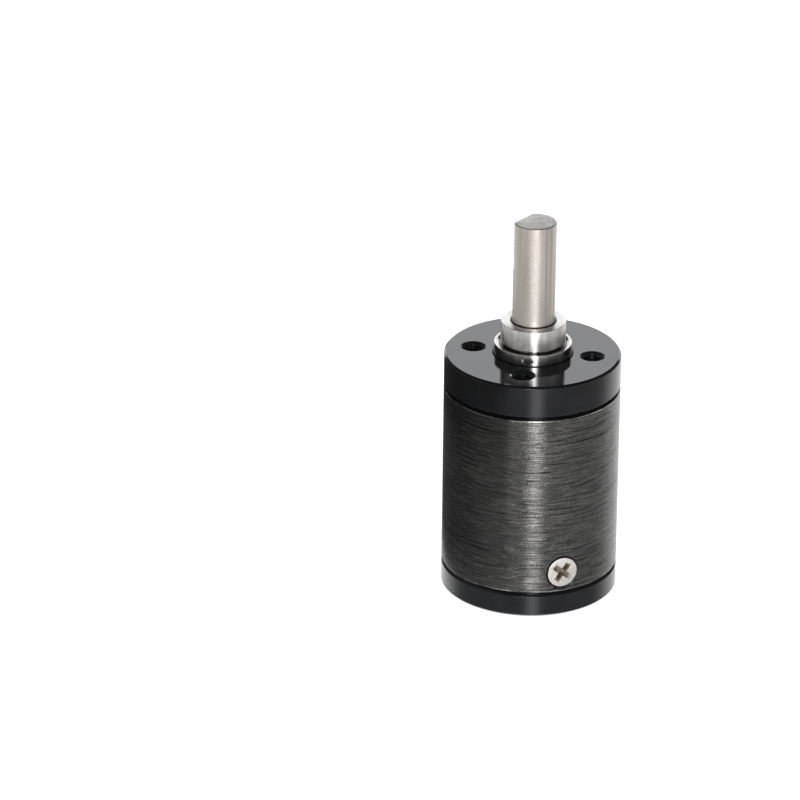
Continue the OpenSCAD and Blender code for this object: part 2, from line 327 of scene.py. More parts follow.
class Nodes:
    """A node tree. Each method adds a node and gives back the socket with its result."""

    def __init__(self, tree):
        self.tree = tree
        self.tree.nodes.clear()

    def add(self, kind, inputs=None, **settings):
        node = self.tree.nodes.new(kind)
        for key, value in settings.items():
            setattr(node, key, value)
        for key, value in (inputs or {}).items():
            if isinstance(value, bpy.types.NodeSocket):
                self.tree.links.new(value, node.inputs[key])
            else:
                node.inputs[key].default_value = value
        return node

    def math(self, operation, one, other=0.0):
        return self.add("ShaderNodeMath", {0: one, 1: other}, operation=operation).outputs[0]

    def times(self, one, other):
        return self.math("MULTIPLY", one, other)

    def total(self, *terms):
        """Sum of values, or of pairs of a value and its weight."""
        terms = [self.times(*term) if isinstance(term, tuple) else term for term in terms]
        result = terms[0]
        for term in terms[1:]:
            result = self.math("ADD", result, term)
        return result

    def bell(self, value):
        """1 where the value is 0, and falling away smoothly on both sides."""
        return self.math("EXPONENT", self.times(self.times(value, value), -1.0))

    def spread(self, value, low_value, high_value, start=0.0, end=1.0):
        """Maps low_value..high_value to start..end, and holds it there beyond them."""
        inputs = {"Value": value, "From Min": low_value, "From Max": high_value,
                  "To Min": start, "To Max": end}
        return self.add("ShaderNodeMapRange", inputs, interpolation_type="SMOOTHSTEP").outputs[0]

    def between(self, factor, one, other):
        """The first number where the factor is 0, the other where it is 1."""
        return self.add("ShaderNodeMix", {0: factor, 2: one, 3: other}).outputs[0]

    def mix(self, factor, one, other):
        """The first colour where the factor is 0, the other where it is 1."""
        inputs = {0: factor, 6: one, 7: other}
        return self.add("ShaderNodeMix", inputs, data_type="RGBA").outputs[2]

    def noise(self, vector, detail, roughness=0.5):
        inputs = {"Vector": vector, "Scale": 1.0, "Detail": detail, "Roughness": roughness}
        return self.add("ShaderNodeTexNoise", inputs).outputs["Fac"]

    def split(self, vector):
        return self.add("ShaderNodeSeparateXYZ", {0: vector}).outputs


class Shader(Nodes):
    """A material's nodes, with the place and the direction of the surface that they work from."""

    def __init__(self, name):
        self.material = bpy.data.materials.new(name)
        self.material.use_nodes = True
        super().__init__(self.material.node_tree)
        coordinates = self.add("ShaderNodeTexCoord").outputs
        self.place = coordinates["Object"]
        self.normal = coordinates["Normal"]
        self.x, self.y, self.z = self.split(self.place)

    def scaled(self, x, y, z, shift=(0, 0, 0)):
        """The place in the part, moved by shift and counted in units of these lengths."""
        moved = self.add("ShaderNodeVectorMath", {0: self.place, 1: shift}, operation="ADD")
        inputs = {0: moved.outputs[0], 1: (1 / x, 1 / y, 1 / z)}
        return self.add("ShaderNodeVectorMath", inputs, operation="MULTIPLY").outputs[0]

    def cells(self, size):
        """The place in the part, counted in cells of one size."""
        return self.scaled(size, size, size)

    def radius(self, x, y):
        """Distance from the upright axis."""
        return self.math("SQRT", self.total((x, x), (y, y)))

    def turned(self, streak, pitch, centre=(0, 0)):
        """Coordinates of cuts that run round an upright axis: slow along a cut, one unit per pitch across."""
        x, y, z = self.split(self.scaled(1, 1, 1, (-centre[0], -centre[1], 0)))
        inputs = {
            0: self.math("DIVIDE", x, streak),
            1: self.math("DIVIDE", y, streak),
            2: self.math("DIVIDE", self.total(self.radius(x, y), z), pitch),
        }
        return self.add("ShaderNodeCombineXYZ", inputs).outputs[0]

    def bump(self, height, distance):
        inputs = {"Height": height, "Distance": distance, "Strength": 1.0}
        return self.add("ShaderNodeBump", inputs).outputs[0]

    def around(self):
        """Tangent that runs round the part's own upright axis."""
        return self.add("ShaderNodeTangent", direction_type="RADIAL", axis="Z").outputs[0]

    def output(self, **inputs):
        names = {key.replace("_", " "): value for key, value in inputs.items()}
        surface = self.add("ShaderNodeBsdfPrincipled", names)
        self.add("ShaderNodeOutputMaterial", {"Surface": surface.outputs[0]})
        return self.material


WHITE = (1, 1, 1, 1)
# colour of the dark warm band on the shaft where it leaves the collar
DARK_WARM_STEEL = (0.09, 0.06, 0.045, 1)
# the screws' recess: painted shade, tinted brown by old oil
OIL_AND_SHADE_ON_NICKEL = (0.33, 0.275, 0.22, 1)


def grey(level, warmth=0.0):
    return (level * (1 + warmth), level, level * (1 - warmth), 1)


def blackened_steel():
    """Ring gear: black oxide over short, uneven cuts. The end chamfers are painted dark as shade in the
    seams, their edges worn bright.
    """
    s = Shader("blackened_steel")
    fine = s.noise(s.turned(4 * MM, 0.14 * MM), 2, 0.7)
    broad = s.noise(s.turned(7 * MM, 0.3 * MM), 2)
    grain = s.noise(s.scaled(0.22 * MM, 0.22 * MM, 0.16 * MM), 2)
    dark = s.spread(s.noise(s.turned(11 * MM, 0.16 * MM), 1), 0.6, 0.66)
    light = s.spread(s.noise(s.turned(2.5 * MM, 0.14 * MM, (0.4 * MM, 0)), 1), 0.6, 0.7)
    cloud = s.noise(s.cells(7 * MM), 2)
    from_middle = s.math("ABSOLUTE", s.math("SUBTRACT", s.z, (rim_z + seam_z) / 2))
    ends = (seam_z - rim_z) / 2 - SEAM
    # the end chamfers at the two seams, where painted shade goes
    chamfer = s.spread(from_middle, ends + 0.03 * MM, ends + 0.08 * MM)
    worn = s.spread(from_middle, ends - 0.13 * MM, ends - 0.03 * MM)
    worn = s.times(worn, s.spread(fine, 0.4, 0.6))
    tone = s.mix(s.spread(s.total((fine, 0.75), (grain, 0.25)), 0.32, 0.68), grey(0.038), grey(0.205, 0.02))
    tone = s.mix(s.spread(cloud, 0.35, 0.65, 0, 0.3), tone, grey(0.07))
    tone = s.mix(s.times(light, 0.5), tone, grey(0.32, 0.03))
    tone = s.mix(s.times(dark, 0.85), tone, grey(0.012))
    tone = s.mix(worn, tone, grey(0.6))
    # painted shade: the end chamfers in the seams go near black
    tone = s.mix(chamfer, tone, grey(0.03))
    height = s.total(fine, (broad, 0.15), (grain, 0.7), (dark, -0.5))
    return s.output(
        Base_Color=tone,
        Metallic=0.97,
        Roughness=s.spread(grain, 0.25, 0.75, 0.2, 0.33),
        Anisotropic=0.9,
        Anisotropic_Rotation=0.25,
        Tangent=s.around(),
        Normal=s.bump(height, 0.018 * MM),
    )


def black_anodised():
    """Flanges: dyed aluminium, polished on its flat faces, finely turned round its rim, dull in its holes."""
    s = Shader("black_anodised")
    fine = s.noise(s.turned(4 * MM, 0.06 * MM), 2)
    grain = s.noise(s.cells(0.12 * MM), 1)
    smear = s.noise(s.cells(3 * MM), 2)
    rim = s.spread(s.math("ABSOLUTE", s.split(s.normal)[2]), 0.5, 0.2)
    inside = s.spread(s.radius(s.x, s.y), body_r - 1 * MM, body_r - 1.5 * MM)
    sunk = s.times(inside, s.spread(s.z, front_z - 0.1 * MM, front_z - 0.5 * MM))
    polished = s.spread(smear, 0.25, 0.75, 0.05, 0.1)
    return s.output(
        Base_Color=s.mix(s.spread(smear, 0.3, 0.7), grey(0.002), grey(0.004, -0.1)),
        Metallic=0.0,
        IOR=1.75,
        Specular_Tint=(0.94, 0.95, 1, 1),
        Roughness=s.total(polished, (rim, 0.1), (sunk, 0.1)),
        Normal=s.bump(s.total(fine, (grain, s.total(3.0, (rim, 9.0)))), 0.0007 * MM),
    )


def turned_metal(name, tone, roughness, pitch, depth, centre=(0, 0)):
    """Bare turned metal, with its cuts round an upright axis and a little staining."""
    s = Shader(name)
    streak = 6 * MM
    stain = 0.75
    fine = s.noise(s.turned(streak, pitch, centre), 3, 0.6)
    broad = s.noise(s.turned(2 * streak, 6 * pitch, centre), 2)
    cloud = s.noise(s.cells(2.5 * MM), 3)
    wiped = s.noise(s.scaled(0.35 * MM, 0.35 * MM, 5 * MM), 2)
    stained = tuple(c * stain for c in tone[:3]) + (1,)
    return s.output(
        Base_Color=s.mix(s.spread(s.total(wiped, cloud), 0.8, 1.2), stained, tone),
        Metallic=1.0,
        Roughness=s.spread(cloud, 0.3, 0.7, roughness * 0.85, roughness * 1.25),
        Anisotropic=0.6,
        Anisotropic_Rotation=0.25,
        Tangent=s.around(),
        Normal=s.bump(s.total(fine, (broad, 0.8)), depth),
    )


def stainless_steel():
    """Shaft: ground, with faint marks along it, a duller end face, and a dark warm band where it leaves the
    collar.
    """
    s = Shader("stainless_steel")
    along = s.noise(s.scaled(0.25 * MM, 0.25 * MM, 14 * MM), 1)
    fine = s.noise(s.turned(1.2 * MM, 0.15 * MM), 2)
    cloud = s.noise(s.scaled(1.6 * MM, 1.6 * MM, 2.4 * MM), 3)
    speck = s.noise(s.cells(0.22 * MM), 2)
    drawn = s.spread(s.noise(s.scaled(0.14 * MM, 0.14 * MM, 30 * MM), 1), 0.52, 0.6)
    drawn = s.times(drawn, s.spread(s.x, 1 * MM, 1.5 * MM))
    marks = s.total((along, 0.4), (speck, 0.6))
    side_tone = s.mix(s.spread(marks, 0.25, 0.75), grey(0.52, 0.095), grey(0.68, 0.06))
    side_tone = s.mix(s.times(drawn, 0.55), side_tone, grey(0.27, 0.08))
    edge_z = collar_high.z
    # a dark warm band on the shaft, from a little below the collar's top to a little above it
    collar_band = s.spread(s.total(s.z, (cloud, 0.25 * MM)), edge_z + 0.3 * MM, edge_z + 0.12 * MM)
    collar_band = s.times(collar_band, s.spread(s.z, edge_z - 0.6 * MM, edge_z - 0.4 * MM))
    side_tone = s.mix(collar_band, side_tone, DARK_WARM_STEEL)
    end = s.spread(s.z, shaft_top_z - 0.06 * MM, shaft_top_z - 0.01 * MM)
    end_tone = s.mix(s.spread(s.total(fine, cloud), 0.75, 1.25), grey(0.46, 0.03), grey(0.72, 0.03))
    return s.output(
        Base_Color=s.mix(end, side_tone, end_tone),
        Metallic=1.0,
        Roughness=s.spread(cloud, 0.3, 0.7, 0.46, 0.52),
        Normal=s.bump(s.total((along, 0.4), fine, (speck, 0.8)), 0.004 * MM),
    )


def nickel_plate(recess_depth):
    """Screws: satin plating; the recess darkens with depth, painted shade with a film of old oil in it."""
    s = Shader("nickel_plate")
    cloud = s.noise(s.cells(0.5 * MM), 3)
    grain = s.noise(s.cells(0.06 * MM), 2)
    # painted shade: the recess darkens with depth, tinted brown by old oil
    recess_shade_and_oil = s.spread(s.total(s.z, (cloud, 0.15 * MM)), -0.05 * MM, -recess_depth * 0.4)
    plating = s.mix(s.spread(cloud, 0.3, 0.7), grey(0.76, 0.055), grey(0.86, 0.045))
    return s.output(
        Base_Color=s.mix(recess_shade_and_oil, plating, OIL_AND_SHADE_ON_NICKEL),
        Metallic=1.0,
        Roughness=s.spread(cloud, 0.3, 0.7, 0.42, 0.55),
        Normal=s.bump(s.total(cloud, (grain, 0.4)), 0.002 * MM),
    )


# ---- Housing ----

def ring_gear(material):
    """The toothed body: bored at both ends for the flanges' spigots, with the teeth between them."""
    gap = 0.02 * MM
    teeth_low_z = base_top_z + gap
    teeth_high_z = spigot_low_z - gap
    outline = rounded([
        (RING_BORE_R, teeth_low_z),
        (RING_BORE_R, rim_z + EDGE, BREAK), (RING_BORE_R + EDGE, rim_z, BREAK),
        (body_r - SEAM, rim_z, BREAK), (body_r, rim_z + SEAM, BREAK),
        (body_r, seam_z - SEAM, BREAK), (body_r - SEAM, seam_z, BREAK),
        (RING_BORE_R + EDGE, seam_z, BREAK), (RING_BORE_R, seam_z - EDGE, BREAK),
        (RING_BORE_R, teeth_high_z),
    ])
    space = math.pi * GEAR_MODULE / 2 + BACKLASH / 2
    tip_r = GEAR_MODULE * (RING_TEETH / 2 - RING_ADDENDUM)
    root_r = GEAR_MODULE * (RING_TEETH / 2 + ROOT)
    teeth = gear_outline(RING_TEETH, tip_r, root_r, space)
    bm = bmesh.new()
    rings = revolve(bm, outline, closed=False)
    bottom = polar_ring(bm, teeth, teeth_low_z)
    top = polar_ring(bm, teeth, teeth_high_z)
    skin(bm, bottom, top)
    fill(bm, rings[0], bottom)
    fill(bm, rings[-1], top)
    piece = make_object(bm, "ring_gear_finished")
    carve(piece, [screw_hole_cutter(turn) for turn in screw_turns])
    return finish_piece(piece, "housing", "blackened_steel", material, "ring_gear")


def front_flange(material):
    """The output side: a pocket for each bearing and four tapped holes."""
    pocket_floor_z = front_bearing_z
    rear_floor_z = rear_bearing_z + bearing_w
    outline = rounded([
        (LAND_R, pocket_floor_z), (FRONT_SEAT_R, pocket_floor_z),
        (FRONT_SEAT_R, front_z - POCKET_CHAMFER, BREAK),
        (FRONT_SEAT_R + POCKET_CHAMFER, front_z, BREAK),
        (body_r - EDGE, front_z, BREAK), (body_r, front_z - EDGE, BREAK),
        (body_r, seam_z + SEAM, BREAK), (body_r - SEAM, seam_z, BREAK),
        (SPIGOT_R, seam_z), (SPIGOT_R, spigot_low_z, BREAK),
        (bearing_r, spigot_low_z, BREAK), (bearing_r, rear_floor_z), (LAND_R, rear_floor_z),
    ])
    bm = bmesh.new()
    revolve(bm, outline)
    piece = make_object(bm, "front_flange_finished")
    carve(piece, front_hole_cutters())
    return finish_piece(piece, "housing", "black_anodised", material, "front_flange")


def front_hole_cutters():
    """Four M3 threads with chamfered mouths."""
    thread_r, pitch = 1.5 * MM, 0.5 * MM
    mouth_r = 1.8 * MM
    depth = 6 * MM
    tap_r = mount_size("front_bolts", "hole_r_mm")
    circle_r = mount_size("front_bolts", "pcd_mm") / 2
    count = mounts["front_bolts"]["dims"]["count"]
    cutters = []
    for i in range(count):
        cutter = tapped_hole_cutter("hole", tap_r, thread_r, pitch, mouth_r, depth)
        turn = Matrix.Rotation(TURN * i / count, 4, "Z")
        cutter.matrix_world = turn @ Matrix.Translation((circle_r, 0, front_z))
        cutters.append(cutter)
    return cutters


def base_flange(material):
    """The motor's side: a recess that centres the motor, two holes for its screws, and three radial holes."""
    boss_r = mount_size("motor_pilot", "r_mm")
    boss_depth = mount_size("motor_pilot", "length_mm")
    bore_r = 4 * MM
    outline = rounded([
        (boss_r, 0, BREAK), (body_r - EDGE, 0, BREAK), (body_r, EDGE, BREAK),
        (body_r, rim_z - SEAM, BREAK), (body_r - SEAM, rim_z, BREAK),
        (SPIGOT_R, rim_z), (SPIGOT_R, base_top_z, BREAK),
        (bore_r, base_top_z, BREAK), (bore_r, boss_depth, BREAK), (boss_r, boss_depth),
    ])
    bm = bmesh.new()
    revolve(bm, outline)
    piece = make_object(bm, "base_flange_finished")
    cutters = [motor_hole_cutter(side) for side in (-1, 1)]
    drilled = [(0, 0), (BASE_TAP_R, 0), (BASE_TAP_R, body_r * 2), (0, body_r * 2)]
    cutters += [radial_cutter(turn, drilled) for turn in screw_turns]
    carve(piece, cutters)
    return finish_piece(piece, "housing", "black_anodised", material, "base_flange")


def motor_hole_cutter(side):
    """A motor screw's hole, with its mouth broken, and the milled slot above it."""
    hole_r = mount_size("motor_bolts", "hole_r_mm")
    slot_r = 2.5 * MM
    over = 1 * MM
    steps = 48
    bm = bmesh.new()
    revolve(bm, [
        (0, -over), (hole_r + over + BREAK, -over), (hole_r, BREAK),
        (hole_r, rim_z + over), (0, rim_z + over),
    ], steps, closed=False)
    hole = make_object(bm, "motor_hole")
    bm = bmesh.new()
    arc = [(slot_r * math.cos(math.pi * i / steps), -slot_r * math.sin(math.pi * i / steps))
           for i in range(steps + 1)]
    arc += [(-slot_r, body_r), (slot_r, body_r)]
    rings = [[bm.verts.new((x, y, z)) for x, y in arc] for z in (rim_z, base_top_z + over)]
    skin(bm, *rings)
    bm.faces.new(rings[0])
    bm.faces.new(rings[1])
    slot = make_object(bm, "motor_slot")
    both = slot.modifiers.new("both", "BOOLEAN")
    both.operation = "UNION"
    both.solver = "EXACT"
    both.object = hole
    settle(slot)
    bpy.data.objects.remove(hole)
    offset = mount_size("motor_bolts", "spacing_y_mm") / 2
    turn = Matrix.Rotation(0 if side > 0 else math.pi, 4, "Z")
    slot.matrix_world = turn @ Matrix.Translation((0, offset, 0))
    return slot


# ---- Base screws ----

SCREW_Z = 6.6 * MM
FIRST_SCREW = 62          # degrees round from +X
HEAD_R = 2.2 * MM
HEAD_RIM = 0.12 * MM
SHANK_R = 1.2 * MM
BASE_TAP_R = 1.25 * MM
SCREW_LENGTH = 4.6 * MM
RECESS_DEPTH = 1.1 * MM
head_x = body_r - 0.15 * MM
screw_turns = [math.radians(FIRST_SCREW + 120 * i) for i in range(3)]
cross_turns = [math.radians(a) for a in (34, 8, 52)]


def screw_place(turn):
    """Where a base screw stands: its own +Z runs outward from its head's top."""
    return (Matrix.Rotation(turn, 4, "Z") @ Matrix.Translation((head_x, 0, SCREW_Z))
            @ Matrix.Rotation(math.pi / 2, 4, "Y"))


def radial_cutter(turn, outline):
    """A turned shape whose axis runs outward from the part's axis, at a base screw's height."""
    steps = 96
    bm = bmesh.new()
    revolve(bm, outline, steps, closed=False)
    cutter = make_object(bm, "radial")
    cutter.matrix_world = (Matrix.Rotation(turn, 4, "Z") @ Matrix.Translation((0, 0, SCREW_Z))
                           @ Matrix.Rotation(math.pi / 2, 4, "Y"))
    return cutter


def screw_hole_cutter(turn):
    """A clearance hole through the ring gear with a countersink that is a little wider than the head."""
    clear_r = 1.35 * MM
    mouth_r = 2.42 * MM
    over = 1 * MM
    start_x = RING_BORE_R - 2 * MM
    seat_x = head_x - HEAD_RIM
    return radial_cutter(turn, [
        (0, start_x), (clear_r, start_x),
        (clear_r, seat_x - (mouth_r - clear_r)), (mouth_r, seat_x),
        (mouth_r + over, seat_x + over), (0, seat_x + over),
    ])


def cross_outline(arm, half_width, corner, turn):
    """Outline of a cross with round inner corners, as pairs of radius and angle."""
    steps = 4
    points = []
    for quarter in range(4):
        middle = turn + quarter * TURN / 4
        local = [(arm, -half_width), (arm, half_width)]
        for i in range(steps + 1):
            a = TURN / 4 * i / steps
            local.append((half_width + corner * (1 - math.sin(a)), half_width + corner * (1 - math.cos(a))))
        points += [(math.hypot(x, y), math.atan2(y, x) + middle) for x, y in local]
    return points


def recess_cutter(turn):
    """Shape of a cross recess that narrows with depth and ends in a blunt point."""
    top_arm, foot_arm = 1.575 * MM, 0.62 * MM
    top_half, foot_half = 0.42 * MM, 0.2 * MM
    corner = 0.16 * MM
    # Height in millimetres, and how far the cross has narrowed towards its foot there.
    levels = [(0.1, 0), (0, 0), (-0.35, 0.3), (-0.7, 0.62), (-0.95, 0.82), (-1.1, 0.97)]
    bm = bmesh.new()
    rings = []
    for z, share in levels:
        arm = top_arm + (foot_arm - top_arm) * share
        half = top_half + (foot_half - top_half) * share
        rings.append(polar_ring(bm, cross_outline(arm, half, corner, turn), z * MM))
    for one, other in zip(rings, rings[1:]):
        skin(bm, one, other)
    bm.faces.new(rings[0])
    bm.faces.new(rings[-1])
    return make_object(bm, "recess")


def base_screw(number, material):
    """A countersunk screw, built round its own axis with its head's top at z = 0."""
    seat = HEAD_R - SHANK_R
    pitch, root_r, tip_r = 0.45 * MM, 0.95 * MM, 0.75 * MM
    plain = 0.3 * MM
    thread_top = -HEAD_RIM - seat - plain
    thread_bottom = -SCREW_LENGTH + plain
    steps = 120

    def radius_at(turns, z):
        """The thread fades in over half a pitch at its two ends."""
        share = min(1, max(0, 2 * (thread_top - z) / pitch), max(0, 2 * (z - thread_bottom) / pitch))
        return thread_radius(turns, z, root_r, root_r + (SHANK_R - root_r) * share, pitch)

    head = rounded([
        (0, 0), (HEAD_R, 0, 0.08 * MM), (HEAD_R, -HEAD_RIM),
        (SHANK_R, -HEAD_RIM - seat, BREAK), (SHANK_R, thread_top + plain / 2), (root_r, thread_top),
    ])
    bm = bmesh.new()
    rings = [circle(bm, r, z, steps) for r, z in head]
    rings += reversed(threaded_rings(bm, thread_bottom, thread_top, pitch, radius_at, steps))
    rings += [circle(bm, r, -SCREW_LENGTH, steps) for r in (tip_r, 0)]
    for one, other in zip(rings, rings[1:]):
        skin(bm, one, other)
    piece = make_object(bm, f"base_screw_{number}")
    carve(piece, [recess_cutter(cross_turns[number - 1])])
    piece.matrix_world = screw_place(screw_turns[number - 1])
    return finish_piece(piece, "housing", "nickel_plate", material, "base_screws")


# ---- Bearings ----

def race_groove(side):
    """The ball groove's arc from its lower end to its upper, in an outer (1) or an inner (-1) race."""
    shoulder = RACE_OUTER_R if side > 0 else RACE_INNER_R
    reach = math.acos(abs(shoulder - BALL_ORBIT_R) / GROOVE_R)
    steps = 16
    return [(BALL_ORBIT_R + side * GROOVE_R * math.cos(a), bearing_w / 2 + GROOVE_R * math.sin(a))
            for a in [reach * (2 * i / steps - 1) for i in range(steps + 1)]]


def lifted(points, z):
    return [(p[0], p[1] + z, *p[2:]) for p in points]


def lathe_piece(name, corners, body, slot, material, node, z):
    """A turned piece from its section's corners, whose heights count from z."""
    bm = bmesh.new()
    revolve(bm, rounded(lifted(corners, z)))
    return finish_piece(make_object(bm, name), body, slot, material, node)


def bearing(place, z, step_z, steel, shield_painted_shade):
    """The two races and the two shields of a bearing whose lower face is at z.

    Where step_z isn't 0, the outer race is narrower up to that height above its lower face.
    """
    lip = 0.06 * MM
    slot_r = RACE_OUTER_R + 0.2 * MM
    slot_depth = 0.3 * MM
    if step_z:
        outside = [(FRONT_SEAT_R, 0, lip), (FRONT_SEAT_R, step_z), (bearing_r, step_z)]
    else:
        outside = [(bearing_r, 0, RACE_CHAMFER)]
    outer = [
        (slot_r, 0, lip), *outside, (bearing_r, bearing_w, lip),
        (slot_r, bearing_w, lip), (slot_r, bearing_w - slot_depth), (RACE_OUTER_R, bearing_w - slot_depth),
        *reversed(race_groove(1)), (RACE_OUTER_R, slot_depth), (slot_r, slot_depth),
    ]
    inner = [
        (RACE_INNER_R, 0, lip), *race_groove(-1), (RACE_INNER_R, bearing_w, lip),
        (BEARING_BORE_R, bearing_w, RACE_CHAMFER), (BEARING_BORE_R, 0, RACE_CHAMFER),
    ]
    lathe_piece(f"{place}_bearing_outer_race_finished", outer, "housing", "bearing_steel", steel,
                f"{place}_bearing_outer_race", z)
    lathe_piece(f"{place}_bearing_inner_race_finished", inner, "output", "bearing_steel", steel,
                f"{place}_bearing_inner_race", z)
    bm = bmesh.new()
    for side in (-1, 1):
        revolve(bm, lifted(shield(side), z + bearing_w / 2))
    finish_piece(make_object(bm, f"{place}_bearing_shields_finished"), "housing", "shield_steel", shield_painted_shade,
                 f"{place}_bearing_shields")


def shield(side):
    """Section of a pressed shield: a flat ring with a dip in front of the inner race."""
    outer = RACE_OUTER_R
    inner = RACE_INNER_R + 0.1 * MM
    face = side * (bearing_w / 2 - 0.2 * MM)
    back = side * (bearing_w / 2 - 0.35 * MM)
    dip = face - side * 0.04 * MM
    edge = face - side * 0.06 * MM
    return [
        (inner, back), (inner, dip), (inner + 0.12 * MM, dip), (inner + 0.18 * MM, face),
        (outer - 0.16 * MM, face), (outer, edge), (outer, back),
    ]


def front_step_z():
    """Where the front race's full diameter starts: the pilot's length below its upper chamfer."""
    return bearing_w - RACE_CHAMFER - mount_size("front_pilot", "length_mm")


# ---- Output side ----

def shaft_collar(material):
    """A plain ring on a narrow foot that bears on the inner race."""
    foot_r, foot_h = 4 * MM, 0.15 * MM
    chamfer = 0.15 * MM
    soft = 0.03 * MM
    top_edge = 0.08 * MM
    h = collar_high.z - collar_low.z
    r = collar_high.x
    corners = [
        (COLLAR_SEAT_R, 0), (foot_r, 0), (foot_r, foot_h), (r - chamfer, foot_h, soft),
        (r, foot_h + chamfer, soft), (r, h, top_edge),
        (COLLAR_SEAT_R + chamfer, h, soft), (COLLAR_SEAT_R, h - chamfer),
    ]
    return lathe_piece("shaft_collar_finished", corners, "output", "turned_steel", material,
                       "shaft_collar", collar_low.z)


def bearing_spacer(material):
    """The sleeve between the two inner races."""
    edge = 0.1 * MM
    bottom = low("bearing_spacer").z
    h = high("bearing_spacer").z - bottom
    r = high("bearing_spacer").x
    corners = [(BEARING_BORE_R, 0), (r, 0, edge), (r, h, edge), (BEARING_BORE_R, h)]
    return lathe_piece("bearing_spacer_finished", corners, "output", "turned_steel", material,
                       "bearing_spacer", bottom)


def output_shaft(material):
    """The shaft: shoulder, journal for the bearings, seat for the collar, and the D-cut end."""
    flat = mounts["shaft_flat"]
    flat_middle = Vector(flat["pos_m"])
    flat_low_z = 2 * flat_middle.z - shaft_top_z
    tip = 0.12 * MM
    shoulder_z = low("bearing_spacer").z - bearing_w - 0.9 * MM
    seat_top_z = collar_high.z - 0.15 * MM
    journal_top_z = collar_low.z - 0.05 * MM
    outline = rounded([
        (0, shaft_low_z), (BEARING_BORE_R - tip, shaft_low_z, BREAK),
        (BEARING_BORE_R, shaft_low_z + tip, BREAK), (BEARING_BORE_R, shoulder_z),
        (SHOULDER_R, shoulder_z, BREAK), (SHOULDER_R, rear_bearing_z, BREAK),
        (BEARING_BORE_R, rear_bearing_z), (BEARING_BORE_R, journal_top_z, BREAK),
        (COLLAR_SEAT_R, journal_top_z), (COLLAR_SEAT_R, seat_top_z, BREAK), (shaft_r, seat_top_z),
        (shaft_r, shaft_top_z - tip, BREAK), (shaft_r - tip, shaft_top_z, BREAK), (0, shaft_top_z),
    ])
    bm = bmesh.new()
    revolve(bm, outline, closed=False)
    piece = make_object(bm, "output_shaft_finished")
    carve(piece, [flat_cutter(flat_middle, Vector(flat["axis"]), flat_low_z)])
    break_edges(piece, 0.04 * MM, CREASE)
    settle(piece)
    return finish_piece(piece, "output", "stainless_steel", material, "output_shaft")


def break_edges(piece, width, angle):
    """Rounds the edges that are sharper than the angle."""
    edges = piece.modifiers.new("edges", "BEVEL")
    edges.width = width
    edges.segments = 2
    edges.limit_method = "ANGLE"
    edges.angle_limit = angle


def flat_cutter(middle, outward, flat_low_z):
    """What the milling cutter takes off the shaft: a block with a rounded lower inner edge."""
    cutter_r = 0.2 * MM
    depth = 3 * MM
    reach = 4 * MM
    top_z = shaft_top_z + 1 * MM
    section = rounded([(0, flat_low_z, cutter_r), (depth, flat_low_z), (depth, top_z), (0, top_z)], steps=6)
    bm = bmesh.new()
    sides = [[bm.verts.new((x, y, z)) for x, z in section] for y in (-reach, reach)]
    skin(bm, *sides)
    for side in sides:
        bm.faces.new(side)
    cutter = make_object(bm, "flat")
    cutter.matrix_world = (Matrix.Translation((middle.x, middle.y, 0))
                           @ Matrix.Rotation(math.atan2(outward.y, outward.x), 4, "Z"))
    return cutter


# ---- Inner pieces that keep their CAD shape ----

def machined(node, material):
    """Gives a CAD node broken edges and a material of its own."""
    piece = frame["nodes"][node]
    piece.modifiers.new("weld", "WELD").merge_threshold = 1e-6
    merge = piece.modifiers.new("flats", "DECIMATE")
    merge.decimate_type = "DISSOLVE"
    merge.angle_limit = math.radians(0.5)
    break_edges(piece, 0.03 * MM, math.radians(40))
    normals = piece.modifiers.new("normals", "WEIGHTED_NORMAL")
    normals.keep_sharp = True
    piece.data.materials.clear()
    piece.data.materials.append(material)


# ---- Building ----

black = black_anodised()
steel = turned_metal("bearing_steel", grey(0.6, 0.02), 0.12, 0.05 * MM, 0.0006 * MM)
bright = turned_metal("turned_steel", grey(0.78, 0.015), 0.32, 0.08 * MM, 0.004 * MM)
# the shields' dark tone is painted shade for the gap between the collar and the outer race
shield_painted_shade = turned_metal("shield_steel", grey(0.14, 0.03), 0.25, 0.15 * MM, 0.001 * MM)
nickel = nickel_plate(RECESS_DEPTH)

ring_gear(blackened_steel())
front_flange(black)
base_flange(black)
for number in (1, 2, 3):
    base_screw(number, nickel)
bearing("front", front_bearing_z, front_step_z(), steel, shield_painted_shade)
bearing("rear", rear_bearing_z, 0, steel, shield_painted_shade)
shaft_collar(bright)
bearing_spacer(bright)
output_shaft(stainless_steel())


def centre_of(node):
    middle = (low(node) + high(node)) / 2
    return (middle.x, middle.y)


# Tone, roughness, pitch of the cuts and their depth.
INNER = {
    "bronze": (grey(0.5, 0.25), 0.28, 0.1 * MM, 0.002 * MM),
    "brass": ((0.68, 0.5, 0.22, 1), 0.22, 0.08 * MM, 0.0015 * MM),
    "cage_brass": ((0.66, 0.47, 0.2, 1), 0.25, 0.1 * MM, 0.001 * MM),
    "ball_steel": (grey(0.75), 0.05, 0.2 * MM, 0.0001 * MM),
    "gear_steel": (grey(0.36, 0.03), 0.32, 0.07 * MM, 0.002 * MM),
    "carrier_steel": (grey(0.3, 0.01), 0.35, 0.12 * MM, 0.003 * MM),
    "pin_steel": (grey(0.62), 0.15, 0.05 * MM, 0.0004 * MM),
}
replaced = {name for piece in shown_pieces() for name in piece.get("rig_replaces", [])}
slots = {part["node"]: part["material_slot"] for part in frame["record"]["subparts"]}
inner_materials = {}
for node in sorted(set(frame["nodes"]) - replaced):
    centre = centre_of(node)
    key = (slots[node], round(centre[0], 5), round(centre[1], 5))
    if key not in inner_materials:
        name = f"{slots[node]}_{len(inner_materials) + 1}"
        inner_materials[key] = turned_metal(name, *INNER[slots[node]], centre=centre)
    machined(node, inner_materials[key])


# ---- Camera ----

